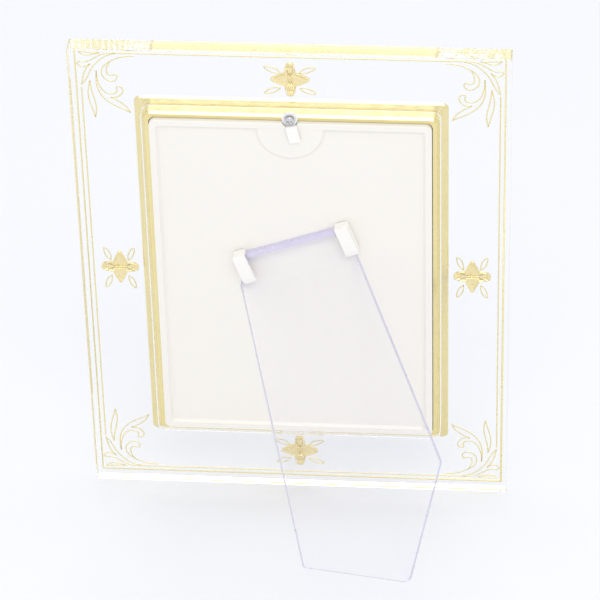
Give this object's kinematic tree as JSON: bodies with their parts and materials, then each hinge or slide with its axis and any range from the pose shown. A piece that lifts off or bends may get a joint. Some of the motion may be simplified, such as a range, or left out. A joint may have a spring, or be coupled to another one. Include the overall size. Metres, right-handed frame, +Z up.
{
  "type": "photo album stand",
  "caption": "Free-standing picture frame: thick clear plate with a gold window surround, gold star ornaments, white rear tray with a turn button, and a plug-in clear strut.",
  "frame": {"origin": "on the table, under the middle of the standing frame's box", "axes": "+Z up, -Y the way the picture faces, +X to the right of someone who looks at the picture"},
  "size_m": [0.2, 0.1066, 0.2455],
  "materials": {
    "glass": "thick clear plate, polished faces and edges",
    "clear_acrylic": "clear acrylic sheet, polished, faint violet edge",
    "plated_gold": "pale gold vacuum plating on a moulded surround, glossy",
    "cast_gold": "gold plated casting, glossy",
    "white_plastic": "warm white moulding, satin to glossy",
    "plated_steel": "bright nickel plate",
    "paper": "uncoated insert sheet",
    "card": "grey board",
    "stone": "clear faceted stone"
  },
  "bodies": {
    "frame": {"glass_plate": "glass", "gold_bezel": "plated_gold", "cover_sheet": "clear_acrylic", "picture_card": "paper", "backing_card": "card", "back_cover": "white_plastic", "strut_bracket_left": "white_plastic", "strut_bracket_right": "white_plastic", "button_washer": "plated_steel", "button_screw": "plated_steel", "ornament_top": "cast_gold", "ornament_bottom": "cast_gold", "ornament_left": "cast_gold", "ornament_right": "cast_gold", "stone_top": "stone", "stone_bottom": "stone", "stone_left": "stone", "stone_right": "stone"},
    "turn_button": {"turn_button": "white_plastic"},
    "strut": {"strut": "clear_acrylic"}
  },
  "joints": [
    {"name": "turn_button_spin", "type": "hinge", "parent": "frame", "child": "turn_button", "pos_m": [0, 0.00491, 0.21014], "axis": [0, 0.9744, -0.225], "continuous": true},
    {"name": "strut_slide", "type": "slide", "parent": "frame", "child": "strut", "axis": [-0.342, -0.2114, -0.9156], "range_m": [0, 0.016]}
  ]
}
